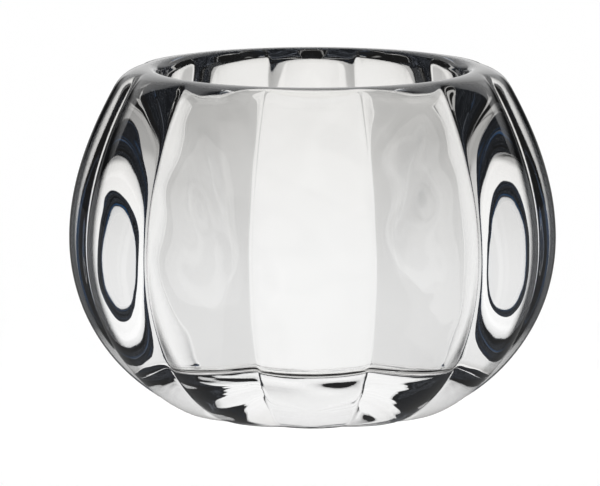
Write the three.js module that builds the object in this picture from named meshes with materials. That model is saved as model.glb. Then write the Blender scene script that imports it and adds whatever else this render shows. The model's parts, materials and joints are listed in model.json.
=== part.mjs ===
// Clear glass tealight holder, pressed in one piece: twelve bulging lobes round the outside,
// a rounded rim, a thick floor and a smooth round well for a standard tealight.
// Millimetres, +Z up. The origin is the middle of the foot, on the table, and -Y is the front.

import * as THREE from "three";
import { mergeVertices } from "three/addons/utils/BufferGeometryUtils.js";

// The candle, and the well that is sized from it
const CANDLE_RADIUS = 19.5;      // standard tealight cup
const FINGER_CLEARANCE = 8.8;    // room round the cup to lift it out
const WELL_DRAFT = 2.1;          // how much narrower the well is at the floor, so the plunger comes out
const FLOOR_ROUNDING = 1.2;      // fillet between the well's wall and its floor
const FLOOR_THICKNESS = 14.2;    // solid glass under the well

// Wall thickness, measured out to the crest of a lobe
const BELLY_WALL = 16.7;         // at the widest place
const SHOULDER_WALL = 8.3;       // where the rim starts to round over

// Heights above the table
const HEIGHT = 64;
const BELLY_HEIGHT = 32.2;       // widest place
const SHOULDER_DROP = 3.6;       // from the top of the rim down to the shoulder

// Lean of the upper wall, inward from upright, where it reaches the shoulder
const SHOULDER_LEAN = THREE.MathUtils.degToRad(29);

// Roundings of the rim and the foot
const RIM_INNER_ROUNDING = 2;    // from the top of the rim into the well
const FOOT_RADIUS = 19.6;        // flat face that stands on the table
const FOOT_ROUNDING = 15.2;      // long soft curve that lifts the wall off the table

// Lobes
const LOBES = 12;
const LOBE_DEPTH = 2.45;         // from crest down to the valley's sharp bottom, at the belly
const VALLEY_ROUNDING = 0.6;     // how far to each side the valley's bottom is rounded
const LOBE_FADE = 1.3;           // above 1 the lobes reach further up over the rim before they die out

// Mesh fineness
const STEPS_PER_LOBE = 8;
const STEP_LENGTH = 3.4;         // longest step along the lower wall
const UPPER_WALL_STEPS = 9;
const ROUNDING_STEPS = 5;        // steps in each rim or floor rounding

// Radii and heights that follow from the sizes above
const wellRadius = CANDLE_RADIUS + FINGER_CLEARANCE;
const floorRadius = wellRadius - WELL_DRAFT;
const bellyRadius = wellRadius + BELLY_WALL;
const shoulderRadius = wellRadius + SHOULDER_WALL;
const shoulderHeight = HEIGHT - SHOULDER_DROP;
const ridgeRadius = wellRadius + RIM_INNER_ROUNDING;
const valleyRatio = 1 - LOBE_DEPTH / bellyRadius;

// One arc of the half section, from angle a to angle b in radians, as points (radius, height).
function arc(centreR, centreZ, radius, a, b, steps) {
  const points = [];
  for (let i = 0; i <= steps; i++) {
    const angle = a + ((b - a) * i) / steps;
    points.push(new THREE.Vector2(centreR + radius * Math.cos(angle), centreZ + radius * Math.sin(angle)));
  }
  return points;
}

function stepsAlong(radius, sweep) {
  return Math.max(3, Math.ceil((radius * Math.abs(sweep)) / STEP_LENGTH));
}

// Foot curve: tangent to the table at the edge of the flat face. The lower wall is the arc that is
// upright at the belly and runs on smoothly into the foot curve.
function footAndLowerWall() {
  const overhang = bellyRadius - FOOT_RADIUS;
  const rise = BELLY_HEIGHT - FOOT_ROUNDING;
  const radius = (overhang ** 2 + rise ** 2 - FOOT_ROUNDING ** 2) / (2 * (overhang - FOOT_ROUNDING));
  const centreR = bellyRadius - radius;
  const join = Math.atan2(-rise, FOOT_RADIUS - centreR);
  const footSteps = stepsAlong(FOOT_ROUNDING, join + Math.PI / 2);
  const foot = arc(FOOT_RADIUS, FOOT_ROUNDING, FOOT_ROUNDING, -Math.PI / 2, join, footSteps);
  const wall = arc(centreR, BELLY_HEIGHT, radius, join, 0, stepsAlong(radius, join));
  return [...foot, ...wall.slice(1)];
}

// Upper wall: upright at the belly, curving less and less until it leans inward at the shoulder.
function upperWall() {
  const belly = new THREE.Vector2(bellyRadius, BELLY_HEIGHT);
  const shoulder = new THREE.Vector2(shoulderRadius, shoulderHeight);
  const cornerHeight = shoulderHeight - (bellyRadius - shoulderRadius) / Math.tan(SHOULDER_LEAN);
  const corner = new THREE.Vector2(bellyRadius, Math.max(cornerHeight, BELLY_HEIGHT));
  return new THREE.QuadraticBezierCurve(belly, corner, shoulder).getPoints(UPPER_WALL_STEPS);
}

// Outer half of the rim: leaves the shoulder along the wall and lies level at the top.
function outerRim() {
  const start = new THREE.Vector2(shoulderRadius, shoulderHeight);
  const corner = new THREE.Vector2(shoulderRadius - SHOULDER_DROP * Math.tan(SHOULDER_LEAN), HEIGHT);
  const ridge = new THREE.Vector2(ridgeRadius, HEIGHT);
  return new THREE.QuadraticBezierCurve(start, corner, ridge).getPoints(ROUNDING_STEPS);
}

// Inside of the body, from the top of the rim down the well to the edge of its flat floor.
function well() {
  const lip = arc(ridgeRadius, HEIGHT - RIM_INNER_ROUNDING, RIM_INNER_ROUNDING, Math.PI / 2, Math.PI, ROUNDING_STEPS);
  const corner = arc(
    floorRadius - FLOOR_ROUNDING, FLOOR_THICKNESS + FLOOR_ROUNDING, FLOOR_ROUNDING, 0, -Math.PI / 2, ROUNDING_STEPS,
  );
  return [...lip, ...corner];
}

// Half section from the middle of the foot round to the middle of the well's floor. lobing says how
// much of the lobes each point carries: all of them up to the shoulder, none on the rim's top or inside.
function halfSection() {
  const section = [];
  const add = (point, lobing) => section.push({ point, lobing });
  const rim = outerRim();
  const fade = (i) => 1 - THREE.MathUtils.smoothstep((i / (rim.length - 1)) ** LOBE_FADE, 0, 1);
  add(new THREE.Vector2(0, 0), 1);
  footAndLowerWall().forEach((point) => add(point, 1));
  upperWall().slice(1).forEach((point) => add(point, 1));
  rim.slice(1).forEach((point, i) => add(point, fade(i + 1)));
  well().slice(1).forEach((point) => add(point, 0));
  add(new THREE.Vector2(0, FLOOR_THICKNESS), 0);
  return section;
}

// Outline of the lobes seen from above, as a share of the crest radius: each lobe is a round arc
// through its crest and the two valleys beside it, and the valleys' bottoms are rounded. A crest
// faces the front.
function lobeOutline(azimuth) {
  const half = Math.PI / LOBES;
  const aside = Math.abs(THREE.MathUtils.euclideanModulo(azimuth + half, 2 * half) - half);
  const fromCrest = half - Math.hypot(half - aside, VALLEY_ROUNDING / bellyRadius);
  const chord = valleyRatio * Math.sin(half);
  const sagitta = 1 - valleyRatio * Math.cos(half);
  const radius = (chord ** 2 + sagitta ** 2) / (2 * sagitta);
  const centre = 1 - radius;
  return centre * Math.cos(fromCrest) + Math.sqrt(radius ** 2 - (centre * Math.sin(fromCrest)) ** 2);
}

// Turns the half section round the axis, then draws the wall in between the crests.
function lobedBody() {
  const section = halfSection();
  const turned = new THREE.LatheGeometry(section.map((s) => s.point), LOBES * STEPS_PER_LOBE);
  turned.deleteAttribute("normal");
  turned.deleteAttribute("uv");
  const position = turned.getAttribute("position");
  for (let i = 0; i < position.count; i++) {
    const { point, lobing } = section[i % section.length];
    const azimuth = Math.atan2(position.getX(i), position.getZ(i));
    const scale = 1 + lobing * (lobeOutline(azimuth) - 1);
    position.setXYZ(i, point.x * scale * Math.sin(azimuth), -point.x * scale * Math.cos(azimuth), point.y);
  }
  const closed = mergeVertices(turned, 1e-4);
  return withoutSlivers(closed);
}

// Drops the triangles that collapse to a line at the axis.
function withoutSlivers(geometry) {
  const index = geometry.getIndex().array;
  const kept = [];
  for (let i = 0; i < index.length; i += 3) {
    const [a, b, c] = [index[i], index[i + 1], index[i + 2]];
    if (a !== b && b !== c && c !== a) {
      kept.push(a, b, c);
    }
  }
  geometry.setIndex(kept);
  geometry.computeVertexNormals();
  return geometry;
}

const clearGlass = new THREE.MeshStandardMaterial({
  name: "clear_glass",
  color: 0xf2f5f5,
  roughness: 0.02,
  metalness: 0,
  transparent: true,
  opacity: 0.35,
});

const glassBody = new THREE.Mesh(lobedBody(), clearGlass);
glassBody.name = "glass_body";

const tealightHolder = new THREE.Group();
tealightHolder.name = "tealight_holder";
tealightHolder.add(glassBody);

export default tealightHolder;
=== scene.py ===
"""Looks of the clear glass tealight holder: a fine lobed glass body, its studio and its camera.

Metres, +Z up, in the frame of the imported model. The front, where the camera stands, is -Y.
"""
import json
import math

import bpy
import numpy as np
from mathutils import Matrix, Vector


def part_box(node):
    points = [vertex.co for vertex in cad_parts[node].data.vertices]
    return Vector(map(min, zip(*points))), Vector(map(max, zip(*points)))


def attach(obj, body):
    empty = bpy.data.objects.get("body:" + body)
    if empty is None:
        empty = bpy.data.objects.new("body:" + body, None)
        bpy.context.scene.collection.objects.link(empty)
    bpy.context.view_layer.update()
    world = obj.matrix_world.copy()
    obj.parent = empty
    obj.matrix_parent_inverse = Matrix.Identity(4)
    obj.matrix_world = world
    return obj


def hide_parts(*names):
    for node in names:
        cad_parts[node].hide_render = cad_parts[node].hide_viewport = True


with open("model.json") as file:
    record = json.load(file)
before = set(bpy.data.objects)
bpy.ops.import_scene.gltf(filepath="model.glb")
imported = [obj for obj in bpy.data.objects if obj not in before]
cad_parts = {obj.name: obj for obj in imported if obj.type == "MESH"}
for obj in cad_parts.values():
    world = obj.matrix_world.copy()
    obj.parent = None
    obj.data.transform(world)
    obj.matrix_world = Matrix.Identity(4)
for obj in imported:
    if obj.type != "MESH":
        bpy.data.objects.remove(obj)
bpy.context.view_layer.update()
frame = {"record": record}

MM = 0.001
WHITE = (1.0, 1.0, 1.0, 1.0)

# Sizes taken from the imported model
_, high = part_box("glass_body")
BELLY_RADIUS = high[0]
HEIGHT = high[2]
MOUNTS = {mount["name"]: mount for mount in frame["record"]["mounts"]}
FLOOR_THICKNESS = MOUNTS["tealight_seat"]["pos_m"][2]

# Sizes repeated from part.mjs, but for the rounding of the floor's edge
WELL_RADIUS = 28.3 * MM
FLOOR_RADIUS = 26.2 * MM
FLOOR_ROUNDING = 2.0 * MM        # 1.2 mm in part.mjs; this gives the double line of the photograph
BELLY_HEIGHT = 32.2 * MM
SHOULDER_RADIUS = 36.6 * MM
SHOULDER_DROP = 3.6 * MM
SHOULDER_LEAN = math.radians(29)
RIM_INNER_ROUNDING = 2 * MM
FOOT_RADIUS = 19.6 * MM
FOOT_ROUNDING = 15.2 * MM
LOBES = 12
LOBE_DEPTH = 2.45 * MM
VALLEY_ROUNDING = 0.6 * MM
LOBE_FADE = 1.3                  # above 1 the lobes fade late on the way up the rim

# Fineness of the glass surface
STEPS_PER_LOBE = 40
VALLEY_FINENESS = 0.8            # 0 for even steps, towards 1 for steps that crowd in the valleys
STEP_LENGTH = 0.9 * MM
FEWEST_STEPS = 3
UPPER_WALL_STEPS = 32
WELL_STEPS = 48
FLAT_STEPS = 12
ROUNDING_STEPS = 14

# Waviness left by the pressing: long and short waves, deeper inside than outside
WAVE_DEPTH_INSIDE = 0.16 * MM
WAVE_DEPTH_OUTSIDE = 0.02 * MM
WAVE_LENGTH = 14 * MM
SHORT_WAVE_LENGTH = 6.3 * MM
WAVE_LENGTH_RANGE = (0.6, 2.0)   # shortest and longest wave of either kind, as shares of its length
WAVES_OF_EACH = 14
LONG_SHARE = 0.8
SHORT_SHARE = 0.15
WAVES_ADD_UP_TO = 4              # about the height that all the waves reach together
WAVE_PATTERN_INSIDE = 16
WAVE_PATTERN_OUTSIDE = 15
WAVE_RADIUS = 33 * MM            # where the waves round the axis have their full length
WAVES_GROW_OVER = 6 * MM         # the rim is smooth
FLOOR_CALM = 10 * MM             # the waves die out towards the middle of the floor
FOOT_CALM = 3 * MM               # and, outside, towards the table

# Camera, worked out from the photograph
IMAGE_WIDTH = 600
IMAGE_HEIGHT = 486
CAMERA_ELEVATION = math.radians(8.3)
CAMERA_DISTANCE = 1.5
PIXEL = 0.09 / 487               # size of one pixel at the holder's axis
HOLDER_CENTRE_X = 312.5          # column of the axis in the photograph
HOLDER_MIDDLE_Y = 239.0          # row of the middle of the holder's height
SENSOR = 36.0                    # millimetres
NEAREST = 0.01
FARTHEST = 20


def arc(centre_r, centre_z, radius, a, b, steps):
    """Points (radius, height) on one arc of the half section."""
    angles = [a + (b - a) * i / steps for i in range(steps + 1)]
    return [(centre_r + radius * math.cos(t), centre_z + radius * math.sin(t)) for t in angles]


def steps_along(radius, sweep):
    """Steps that an arc needs."""
    return max(FEWEST_STEPS, math.ceil(radius * abs(sweep) / STEP_LENGTH))


def foot_and_lower_wall():
    """From the edge of the flat foot to the belly, smooth all the way."""
    overhang = BELLY_RADIUS - FOOT_RADIUS
    rise = BELLY_HEIGHT - FOOT_ROUNDING
    radius = (overhang**2 + rise**2 - FOOT_ROUNDING**2) / (2 * (overhang - FOOT_ROUNDING))
    centre_r = BELLY_RADIUS - radius
    join = math.atan2(-rise, FOOT_RADIUS - centre_r)
    foot_steps = steps_along(FOOT_ROUNDING, join + math.pi / 2)
    foot = arc(FOOT_RADIUS, FOOT_ROUNDING, FOOT_ROUNDING, -math.pi / 2, join, foot_steps)
    wall = arc(centre_r, BELLY_HEIGHT, radius, join, 0, steps_along(radius, join))
    return foot + wall[1:]


def curve(start, corner, end, steps):
    """Points (radius, height) on a quadratic curve, both ends included."""
    points = []
    for i in range(steps + 1):
        t = i / steps
        weights = ((1 - t) ** 2, 2 * t * (1 - t), t * t)
        points.append(tuple(sum(w * p[k] for w, p in zip(weights, (start, corner, end))) for k in range(2)))
    return points


def upper_wall():
    """From the belly, where it is upright, to the shoulder, where it leans inward."""
    shoulder = (SHOULDER_RADIUS, HEIGHT - SHOULDER_DROP)
    corner = (BELLY_RADIUS, shoulder[1] - (BELLY_RADIUS - SHOULDER_RADIUS) / math.tan(SHOULDER_LEAN))
    return curve((BELLY_RADIUS, BELLY_HEIGHT), corner, shoulder, UPPER_WALL_STEPS)


def outer_rim():
    """From the shoulder to the level top of the rim."""
    start = (SHOULDER_RADIUS, HEIGHT - SHOULDER_DROP)
    corner = (SHOULDER_RADIUS - SHOULDER_DROP * math.tan(SHOULDER_LEAN), HEIGHT)
    return curve(start, corner, (WELL_RADIUS + RIM_INNER_ROUNDING, HEIGHT), ROUNDING_STEPS)


def well():
    """From the top of the rim down the well to the edge of its flat floor."""
    lip = arc(
        WELL_RADIUS + RIM_INNER_ROUNDING, HEIGHT - RIM_INNER_ROUNDING, RIM_INNER_ROUNDING,
        math.pi / 2, math.pi, ROUNDING_STEPS,
    )
    corner = arc(
        FLOOR_RADIUS - FLOOR_ROUNDING, FLOOR_THICKNESS + FLOOR_ROUNDING, FLOOR_ROUNDING,
        0, -math.pi / 2, ROUNDING_STEPS,
    )
    start, end = lip[-1], corner[0]
    wall = [
        tuple(start[k] + (end[k] - start[k]) * i / WELL_STEPS for k in range(2))
        for i in range(1, WELL_STEPS)
    ]
    return lip + wall + corner


def flat(radius, height, outward):
    """Rings of a flat face, from its middle out or from its edge in, without the edge itself."""
    shares = [i / FLAT_STEPS for i in range(1, FLAT_STEPS)]
    if not outward:
        shares.reverse()
    return [(radius * share, height) for share in shares]


def half_section():
    """Points of the closed half section, each with the share of the lobes that it carries."""
    rim = outer_rim()
    section = [(r, z, 1.0) for r, z in flat(FOOT_RADIUS, 0.0, True)]
    section += [(r, z, 1.0) for r, z in foot_and_lower_wall()]
    section += [(r, z, 1.0) for r, z in upper_wall()[1:]]
    for i, (r, z) in enumerate(rim[1:], start=1):
        t = (i / (len(rim) - 1)) ** LOBE_FADE
        section.append((r, z, 1 - t * t * (3 - 2 * t)))
    inside = well()
    section += [(r, z, 0.0) for r, z in inside[1:]]
    section += [(r, z, 0.0) for r, z in flat(inside[-1][0], FLOOR_THICKNESS, False)]
    return section


def lobe_outline(azimuth):
    """Outline of the lobes seen from above, as a share of the crest radius."""
    half = math.pi / LOBES
    aside = np.abs((azimuth + half) % (2 * half) - half)
    from_crest = half - np.hypot(half - aside, VALLEY_ROUNDING / BELLY_RADIUS)
    valley = 1 - LOBE_DEPTH / BELLY_RADIUS
    chord = valley * math.sin(half)
    sagitta = 1 - valley * math.cos(half)
    radius = (chord**2 + sagitta**2) / (2 * sagitta)
    centre = 1 - radius
    return centre * np.cos(from_crest) + np.sqrt(radius**2 - (centre * np.sin(from_crest)) ** 2)


def azimuths():
    """Angles round the axis, closer together in the valleys than on the crests."""
    across = np.arange(STEPS_PER_LOBE) / STEPS_PER_LOBE - 0.5
    crowded = np.sin(across * math.pi) / 2
    lobe = across + VALLEY_FINENESS * (crowded - across)
    pitch = 2 * math.pi / LOBES
    return np.concatenate([(lobe + k) * pitch for k in range(LOBES)])


def waves(azimuth, along, pattern):
    """Waviness round one ring, about -1 to 1; along is the way to the ring over the surface."""
    chance = np.random.default_rng(pattern)
    total = np.zeros_like(azimuth)
    for length, share in ((WAVE_LENGTH, LONG_SHARE), (SHORT_WAVE_LENGTH, SHORT_SHARE)):
        for _ in range(WAVES_OF_EACH):
            this_length = length * chance.uniform(*WAVE_LENGTH_RANGE)
            turn = chance.uniform(0, math.pi)
            phase = chance.uniform(0, 2 * math.pi)
            round_axis = round(2 * math.pi * WAVE_RADIUS * math.cos(turn) / this_length)
            up = 2 * math.pi * math.sin(turn) / this_length
            depth = share * this_length / WAVE_LENGTH
            total = total + depth * np.sin(round_axis * azimuth + up * along + phase)
    return total / WAVES_ADD_UP_TO


def glass_mesh():
    """One closed, smooth skin of the holder."""
    section = half_section()
    azimuth = azimuths()
    count = len(azimuth)
    outline = lobe_outline(azimuth)
    profile = np.array([(r, z) for r, z, _ in section])
    along = np.concatenate([[0], np.cumsum(np.hypot(*np.diff(profile, axis=0).T))])
    slope = np.gradient(profile, axis=0)
    slope /= np.hypot(*slope.T)[:, None]
    ridge = int(np.argmax(profile[:, 1]))
    points = [(0.0, 0.0, 0.0)]
    for i, (r, z, lobing) in enumerate(section):
        grown = min(1, abs(along[i] - along[ridge]) / WAVES_GROW_OVER)
        if i > ridge:
            depth = WAVE_DEPTH_INSIDE * grown * min(1, r / FLOOR_CALM)
            wave = depth * waves(azimuth, along[i], WAVE_PATTERN_INSIDE)
        else:
            # Only inward, so that the skin stays within the solid's box
            depth = WAVE_DEPTH_OUTSIDE * grown * min(1, z / FOOT_CALM)
            wave = depth * (np.clip(waves(azimuth, along[i], WAVE_PATTERN_OUTSIDE), -1, 1) - 1)
        radius = r * (1 + lobing * (outline - 1)) + slope[i, 1] * wave
        height = z - slope[i, 0] * wave
        points.extend(zip(radius * np.sin(azimuth), -radius * np.cos(azimuth), height))
    points.append((0.0, 0.0, FLOOR_THICKNESS))
    faces = []
    last = len(points) - 1
    for j in range(count):
        k = (j + 1) % count
        faces.append((0, 1 + k, 1 + j))
        for i in range(len(section) - 1):
            a = 1 + i * count
            b = a + count
            faces.append((a + j, a + k, b + k, b + j))
        top = 1 + (len(section) - 1) * count
        faces.append((last, top + j, top + k))
    mesh = bpy.data.meshes.new("pressed_glass")
    mesh.from_pydata(points, [], faces)
    mesh.shade_smooth()
    return mesh


def feed(tree, socket, value):
    """Links an output to the socket, or sets a value on it."""
    if isinstance(value, bpy.types.NodeSocket):
        tree.links.new(value, socket)
    else:
        socket.default_value = value


def node(tree, kind, **inputs):
    """A new node with its inputs fed, by their names or as i and their number."""
    made = tree.nodes.new(kind)
    for key, value in inputs.items():
        numbered = key[0] == "i" and key[1:].isdigit()
        feed(tree, made.inputs[int(key[1:]) if numbered else key], value)
    return made


def maths(tree, operation, a, b=0.0):
    """Result of one Math node."""
    made = node(tree, "ShaderNodeMath", i0=a, i1=b)
    made.operation = operation
    return made.outputs[0]


def between(tree, value, start, end, low_value=0.0, high_value=1.0):
    """Smooth step of value from low_value at start to high_value at end."""
    made = node(tree, "ShaderNodeMapRange", Value=value)
    made.interpolation_type = "SMOOTHSTEP"
    made.inputs["From Min"].default_value = start
    made.inputs["From Max"].default_value = end
    made.inputs["To Min"].default_value = low_value
    made.inputs["To Max"].default_value = high_value
    return made.outputs["Result"]


def past(tree, value, edge, softness):
    """0 well before the edge, 1 well past it."""
    return between(tree, value, edge - softness, edge + softness)


def blended(tree, share, a, b):
    """a where share is 0, b where it is 1."""
    return node(tree, "ShaderNodeMix", i0=share, i2=a, i3=b).outputs[0]


def tinted(tree, share, colour, tint):
    """The colour where share is 0, the tint where it is 1."""
    made = node(tree, "ShaderNodeMix", i0=share)
    made.data_type = "RGBA"
    feed(tree, made.inputs[6], colour)
    feed(tree, made.inputs[7], tint)
    return made.outputs[2]


# Glass
GLASS_IOR = 1.5
GLASS_TINT = (0.99, 0.99, 0.987, 1.0)
# Painted shade: the glass colour towards the outline at a glancing angle, for the dark sides of the studio
PAINTED_EDGE_SHADE = (0.006, 0.0065, 0.0074, 1.0)
PAINTED_SHADE_START = 0.54                # facing at which the painted shade on the outline begins
PAINTED_SHADE_END = 0.68
PAINTED_SHADE_BASE = 3 * MM               # the painted shade is weaker at the foot, where the pale table lights the outline
PAINTED_SHADE_FULL = 17 * MM
PAINTED_SHADE_LEAST = 0.05
EDGE_CLEAR = 1 * MM              # how far outside the well the outer wall counts as begun
FLOW_SCALE = 90.0                # waves of the pressed surface, about 11 mm long
FLOW_DEPTH = 0.04 * MM
POLISH_SCALE = 60.0
POLISH_RANGE = (0.35, 0.75)
POLISH_ROUGHNESS = 0.012


def glass_material():
    """Clear, colourless, fire-polished soda glass with the faint waviness of a pressed surface.

    Towards its outline a painted shade darkens the glass colour of its outer wall at a glancing
    angle, standing in for the dark sides of the studio.
    """
    material = bpy.data.materials.new("clear_glass")
    material.use_nodes = True
    tree = material.node_tree
    shader = tree.nodes["Principled BSDF"].inputs
    shader["Transmission Weight"].default_value = 1.0
    shader["IOR"].default_value = GLASS_IOR
    place = tree.nodes.new("ShaderNodeTexCoord").outputs["Object"]

    # Painted shade on the outline: the glass colour darkens at a glancing angle on the outer wall, less near
    # the foot
    facing = node(tree, "ShaderNodeLayerWeight", Blend=0.5).outputs["Facing"]
    x, y, height = node(tree, "ShaderNodeSeparateXYZ", Vector=place).outputs
    radius = maths(tree, "SQRT", maths(tree, "ADD", *[maths(tree, "MULTIPLY", way, way) for way in (x, y)]))
    outside = between(tree, radius, WELL_RADIUS + EDGE_CLEAR, WELL_RADIUS + 2 * EDGE_CLEAR)
    painted_shade_by_height = maths(tree, "MULTIPLY", between(tree, height, PAINTED_SHADE_BASE, PAINTED_SHADE_FULL, PAINTED_SHADE_LEAST), outside)
    edge = maths(tree, "MULTIPLY", between(tree, facing, PAINTED_SHADE_START, PAINTED_SHADE_END), painted_shade_by_height)
    feed(tree, shader["Base Color"], tinted(tree, edge, GLASS_TINT, PAINTED_EDGE_SHADE))

    flow = node(tree, "ShaderNodeTexNoise", Vector=place, Scale=FLOW_SCALE, Detail=2.0, Roughness=0.45)
    bump = node(tree, "ShaderNodeBump", Strength=1.0, Distance=FLOW_DEPTH, Height=flow.outputs[0])
    feed(tree, shader["Normal"], bump.outputs[0])

    polish = node(tree, "ShaderNodeTexNoise", Vector=place, Scale=POLISH_SCALE, Detail=4.0)
    feed(tree, shader["Roughness"], between(tree, polish.outputs[0], *POLISH_RANGE, 0.0, POLISH_ROUGHNESS))
    return material


def make_glass():
    """Puts the fine glass in the place of the CAD solid."""
    piece = bpy.data.objects.new("pressed_glass_body", glass_mesh())
    bpy.context.scene.collection.objects.link(piece)
    piece.data.materials.append(glass_material())
    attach(piece, "root")
    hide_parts("glass_body")


# Studio for the glass. A bright panel stands behind the holder with a grey one on either side, all lit
# from below, and the rest is dark, so that what the glass mirrors inside draws dark lines. Light that
# passes straight through meets bright and grey panels by turns all the way round. Light mirrored once
# also meets a narrow panel at each side and in front, and the table in front, so that the glass isn't
# black from other sides. Azimuths are measured from straight behind the holder, heights from level.
BRIGHT = 1.05
BRIGHT_FADE = 0.86               # share of its light that the bright panel keeps at its foot
GREY = 0.89
GREY_FADE = 0.6
FADE_FROM = math.radians(5)
FADE_TO = math.radians(-40)
DARK = 0.01
PANEL_EDGE = math.radians(14.5)
PANEL_SOFTNESS = math.radians(1)
SIDE_EDGE = math.radians(52)
SIDE_SOFTNESS = math.radians(2)
TOP_EDGE = math.radians(50)
TOP_SOFTNESS = math.radians(5)
TABLE_LEVEL = 0.42
TABLE_EDGE = math.radians(30)
TABLE_SOFTNESS = math.radians(3)
TABLE_NEAR = math.radians(12)    # azimuths between which the table behind the holder is lit
TABLE_FAR = math.radians(33)
TABLE_SIDE_SOFTNESS = math.radians(2)
BEYOND_LEVEL = 0.5               # table beyond the panels, for light mirrored once: a far and a near part
BEYOND_FROM = math.radians(29)
BEYOND_TO = math.radians(45)
BELOW_LEVEL = 0.6
BELOW_FROM = math.radians(64)
BEYOND_SOFTNESS = math.radians(3)
BEYOND_SIDE = math.radians(100)
BEYOND_SIDE_SOFTNESS = math.radians(5)
NARROW_PITCH = math.pi / 2
NARROW_LEVEL = 0.5
NARROW_EDGE = math.radians(8)
NARROW_SOFTNESS = math.radians(3)
NARROW_TOP = math.radians(37)
NARROW_TOP_SOFTNESS = math.radians(8)
THROUGH_PITCH = math.pi / 3
THROUGH_TOP_LEVEL = 0.6
THROUGH_TOP = math.radians(35)
THROUGH_TOP_SOFTNESS = math.radians(12)
THROUGH_BASE_LEVEL = 0.95
THROUGH_BASE = math.radians(36)
THROUGH_BASE_SOFTNESS = math.radians(8)
DEEP_FROM = 3.5                  # mirrorings after which the light is nearly lost
DEEP_SHARE = 0.12
OUTSIDE_EDGE = math.radians(15)
OUTSIDE_SOFTNESS = math.radians(3)
OUTSIDE_TOP = math.radians(11)
OUTSIDE_TOP_SOFTNESS = math.radians(6)
OUTSIDE_TABLE = 0.15
FRONT_LEVEL = 0.02               # least light that the outside mirrors
MATT_LEVEL = 1.04
SHADOW_FILL = 2.8                # light that reaches the table through the glass
WARM = (1.0, 0.988, 0.965, 1.0)  # tone of the panels towards their foot
COLD = (0.82, 0.9, 1.06, 1.0)    # tone of the light that is nearly lost
BLUE = (0.12, 0.42, 1.0, 1.0)    # fringe of light mirrored two or three times
BLUE_LEVEL = 0.14
BLUE_FROM = math.radians(65)
BLUE_TO = math.radians(145)
BLUE_SIDE_SOFTNESS = math.radians(10)
BLUE_BASE = math.radians(-5)
BLUE_TOP = math.radians(24)
BLUE_SOFTNESS = math.radians(6)


def from_nearest(tree, azimuth, pitch):
    """How far azimuth is from the nearest whole number of pitches."""
    turned = maths(tree, "ADD", azimuth, pitch * 0.5 + 2 * math.pi)
    within = maths(tree, "MODULO", turned, pitch)
    return maths(tree, "ABSOLUTE", maths(tree, "SUBTRACT", within, pitch * 0.5))


def panel_levels(tree, height):
    """Levels of the bright and the grey panels, which fade towards their foot."""
    lit = between(tree, height, FADE_TO, FADE_FROM)
    bright = maths(tree, "MULTIPLY", blended(tree, lit, BRIGHT_FADE, 1.0), BRIGHT)
    grey = maths(tree, "MULTIPLY", blended(tree, lit, GREY_FADE, 1.0), GREY)
    return bright, grey


def mirrored_studio(tree, azimuth, height):
    """Level that mirrored light meets: the panels behind the holder, the table, and dark all round."""
    behind = maths(tree, "ABSOLUTE", azimuth)
    panels = blended(tree, past(tree, behind, PANEL_EDGE, PANEL_SOFTNESS), *panel_levels(tree, height))
    covered = blended(tree, past(tree, height, TOP_EDGE, TOP_SOFTNESS), panels, DARK)
    depth = maths(tree, "MULTIPLY", height, -1.0)
    from_near = past(tree, behind, TABLE_NEAR, TABLE_SIDE_SOFTNESS)
    to_far = maths(tree, "SUBTRACT", from_near, past(tree, behind, TABLE_FAR, TABLE_SIDE_SOFTNESS))
    table = blended(tree, to_far, DARK, TABLE_LEVEL)
    standing = blended(tree, past(tree, depth, TABLE_EDGE, TABLE_SOFTNESS), covered, table)
    return blended(tree, past(tree, behind, SIDE_EDGE, SIDE_SOFTNESS), standing, DARK)


def narrow_panels(tree, azimuth, height):
    """Level of the narrow panels behind, at both sides and in front."""
    aside = past(tree, from_nearest(tree, azimuth, NARROW_PITCH), NARROW_EDGE, NARROW_SOFTNESS)
    slope = maths(tree, "ABSOLUTE", height)
    ring = blended(tree, aside, NARROW_LEVEL, 0.0)
    return blended(tree, past(tree, slope, NARROW_TOP, NARROW_TOP_SOFTNESS), ring, 0.0)


def table_beyond(tree, azimuth, height):
    """Level of the table in front of the holder, which only light mirrored once meets."""
    depth = maths(tree, "MULTIPLY", height, -1.0)
    far = maths(tree, "SUBTRACT", 1.0, past(tree, depth, BEYOND_TO, BEYOND_SOFTNESS))
    far = maths(tree, "MULTIPLY", past(tree, depth, BEYOND_FROM, BEYOND_SOFTNESS), far)
    near = maths(tree, "MULTIPLY", past(tree, depth, BELOW_FROM, BEYOND_SOFTNESS), BELOW_LEVEL)
    table = maths(tree, "ADD", maths(tree, "MULTIPLY", far, BEYOND_LEVEL), near)
    behind = maths(tree, "ABSOLUTE", azimuth)
    return maths(tree, "MULTIPLY", table, past(tree, behind, BEYOND_SIDE, BEYOND_SIDE_SOFTNESS))


def straight_studio(tree, azimuth, height):
    """Level that light straight through the glass meets: panels by turns, the ceiling and the table."""
    aside = past(tree, from_nearest(tree, azimuth, THROUGH_PITCH), PANEL_EDGE, PANEL_SOFTNESS)
    panels = blended(tree, aside, *panel_levels(tree, height))
    over = past(tree, height, THROUGH_TOP, THROUGH_TOP_SOFTNESS)
    under = past(tree, maths(tree, "MULTIPLY", height, -1.0), THROUGH_BASE, THROUGH_BASE_SOFTNESS)
    return blended(tree, under, blended(tree, over, panels, THROUGH_TOP_LEVEL), THROUGH_BASE_LEVEL)


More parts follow.
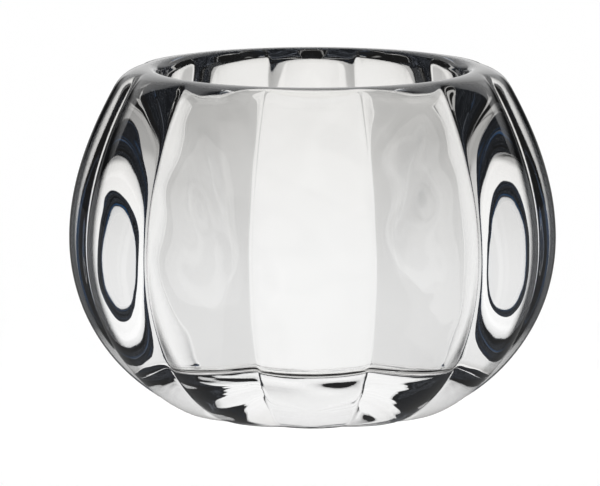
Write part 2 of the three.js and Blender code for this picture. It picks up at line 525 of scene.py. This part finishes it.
def outside_studio(tree, azimuth, height, mirrored):
    """Level that the outside of the glass mirrors: less of the low side panels, and a dim table."""
    behind = maths(tree, "ABSOLUTE", azimuth)
    aside = past(tree, behind, OUTSIDE_EDGE, OUTSIDE_SOFTNESS)
    low = maths(tree, "SUBTRACT", 1.0, past(tree, height, OUTSIDE_TOP, OUTSIDE_TOP_SOFTNESS))
    panels = blended(tree, maths(tree, "MULTIPLY", aside, low), mirrored, FRONT_LEVEL)
    above = maths(tree, "GREATER_THAN", height, 0.0)
    return maths(tree, "MAXIMUM", blended(tree, above, OUTSIDE_TABLE, panels), FRONT_LEVEL)


def blue_share(tree, azimuth, height):
    """Where light mirrored two or three times meets the dark sides of the studio a little above level."""
    behind = maths(tree, "ABSOLUTE", azimuth)
    from_side = past(tree, behind, BLUE_FROM, BLUE_SIDE_SOFTNESS)
    side = maths(tree, "SUBTRACT", from_side, past(tree, behind, BLUE_TO, BLUE_SIDE_SOFTNESS))
    below = maths(tree, "SUBTRACT", 1.0, past(tree, height, BLUE_TOP, BLUE_SOFTNESS))
    ring = maths(tree, "MULTIPLY", past(tree, height, BLUE_BASE, BLUE_SOFTNESS), below)
    return maths(tree, "MULTIPLY", side, ring)


def make_world():
    """White to the camera, plain light on matt surfaces, and the studio as the glass shows it."""
    world = bpy.data.worlds.new("studio")
    bpy.context.scene.world = world
    world.use_nodes = True
    tree = world.node_tree
    tree.nodes.clear()
    direction = tree.nodes.new("ShaderNodeTexCoord").outputs["Generated"]
    x, y, z = node(tree, "ShaderNodeSeparateXYZ", i0=direction).outputs
    azimuth = maths(tree, "ARCTAN2", x, y)
    height = maths(tree, "ARCSINE", z)
    path = tree.nodes.new("ShaderNodeLightPath").outputs
    once = maths(tree, "GREATER_THAN", path["Glossy Depth"], 0.5)
    twice = maths(tree, "GREATER_THAN", path["Glossy Depth"], 1.5)
    deep = maths(tree, "GREATER_THAN", path["Glossy Depth"], DEEP_FROM)
    blue = blue_share(tree, azimuth, height)

    straight = straight_studio(tree, azimuth, height)
    mirrored = mirrored_studio(tree, azimuth, height)
    panels = maths(tree, "MAXIMUM", mirrored, narrow_panels(tree, azimuth, height))
    mirrored_once = maths(tree, "MAXIMUM", panels, table_beyond(tree, azimuth, height))
    mirrored_twice = maths(tree, "MAXIMUM", mirrored, maths(tree, "MULTIPLY", blue, BLUE_LEVEL))
    lost = maths(tree, "ADD", maths(tree, "MULTIPLY", mirrored, DEEP_SHARE), DARK)
    inside = blended(tree, once, straight, mirrored_once)
    inside = blended(tree, deep, blended(tree, twice, inside, mirrored_twice), lost)
    outside = outside_studio(tree, azimuth, height, mirrored)
    glass = blended(tree, path["Is Transmission Ray"], outside, inside)

    # Direct light on matt surfaces comes without a kind of ray, so it is told by what it isn't
    scattered = maths(tree, "GREATER_THAN", path["Diffuse Depth"], 0.5)
    dull = maths(tree, "SUBTRACT", 1.0, path["Is Glossy Ray"])
    matt = maths(tree, "MAXIMUM", scattered, dull)
    matt_level = blended(tree, path["Is Glossy Ray"], MATT_LEVEL, SHADOW_FILL)
    level = blended(tree, path["Is Camera Ray"], blended(tree, matt, glass, matt_level), 1.0)

    tone = tinted(tree, between(tree, height, FADE_TO, FADE_FROM), WARM, WHITE)
    tone = tinted(tree, twice, tone, tinted(tree, blue, tone, BLUE))
    tone = tinted(tree, deep, tone, COLD)
    tone = tinted(tree, path["Is Transmission Ray"], WHITE, tone)
    tone = tinted(tree, matt, tone, WHITE)
    background = node(tree, "ShaderNodeBackground", Color=tone, Strength=level)
    node(tree, "ShaderNodeOutputWorld", i0=background.outputs[0])


TABLE_RADIUS = 3.0
TABLE_SIDES = 96
TABLE_DROP = 0.05 * MM           # keeps the table clear of the foot
TABLE_COLOUR = (0.96, 0.96, 0.96, 1.0)


def make_floor():
    """Plain white table, which keeps the holder's shadow. Seen through the glass it is part of the studio."""
    turns = [2 * math.pi * i / TABLE_SIDES for i in range(TABLE_SIDES)]
    ring = [(TABLE_RADIUS * math.cos(turn), TABLE_RADIUS * math.sin(turn), 0.0) for turn in turns]
    mesh = bpy.data.meshes.new("table")
    mesh.from_pydata(ring, [], [tuple(range(TABLE_SIDES))])
    table = bpy.data.objects.new("table", mesh)
    table.location.z = -TABLE_DROP
    bpy.context.scene.collection.objects.link(table)
    material = bpy.data.materials.new("white_table")
    material.use_nodes = True
    tree = material.node_tree
    tree.nodes.clear()
    matt = node(tree, "ShaderNodeBsdfDiffuse", Color=TABLE_COLOUR).outputs[0]
    clear = tree.nodes.new("ShaderNodeBsdfTransparent").outputs[0]
    mirrored = tree.nodes.new("ShaderNodeLightPath").outputs["Is Glossy Ray"]
    shown = node(tree, "ShaderNodeMixShader", i0=mirrored, i1=matt, i2=clear)
    node(tree, "ShaderNodeOutputMaterial", i0=shown.outputs[0])
    mesh.materials.append(material)


def make_camera():
    """Long lens a little above the holder, turned to the photograph's framing."""
    camera = bpy.data.cameras.new("camera")
    camera.sensor_width = SENSOR
    camera.lens = SENSOR * CAMERA_DISTANCE / (IMAGE_WIDTH * PIXEL)
    camera.clip_start = NEAREST
    camera.clip_end = FARTHEST
    stand = bpy.data.objects.new("camera", camera)
    side = -(HOLDER_CENTRE_X - IMAGE_WIDTH / 2) * PIXEL
    drop = (HOLDER_MIDDLE_Y - IMAGE_HEIGHT / 2) * PIXEL / math.cos(CAMERA_ELEVATION)
    aim_z = HEIGHT / 2 + drop
    stand.location = (
        side,
        -CAMERA_DISTANCE * math.cos(CAMERA_ELEVATION),
        aim_z + CAMERA_DISTANCE * math.sin(CAMERA_ELEVATION),
    )
    stand.rotation_euler = (math.pi / 2 - CAMERA_ELEVATION, 0, 0)
    bpy.context.scene.collection.objects.link(stand)
    bpy.context.scene.camera = stand


MOST_BOUNCES = 24
MOST_GLOSSY_BOUNCES = 16


def set_view():
    """Plain colour view, and enough bounces for light to leave the thick glass."""
    scene = bpy.context.scene
    scene.view_settings.view_transform = "Standard"
    scene.cycles.max_bounces = MOST_BOUNCES
    scene.cycles.transmission_bounces = MOST_BOUNCES
    scene.cycles.glossy_bounces = MOST_GLOSSY_BOUNCES


make_glass()
make_world()
make_floor()
make_camera()
set_view()
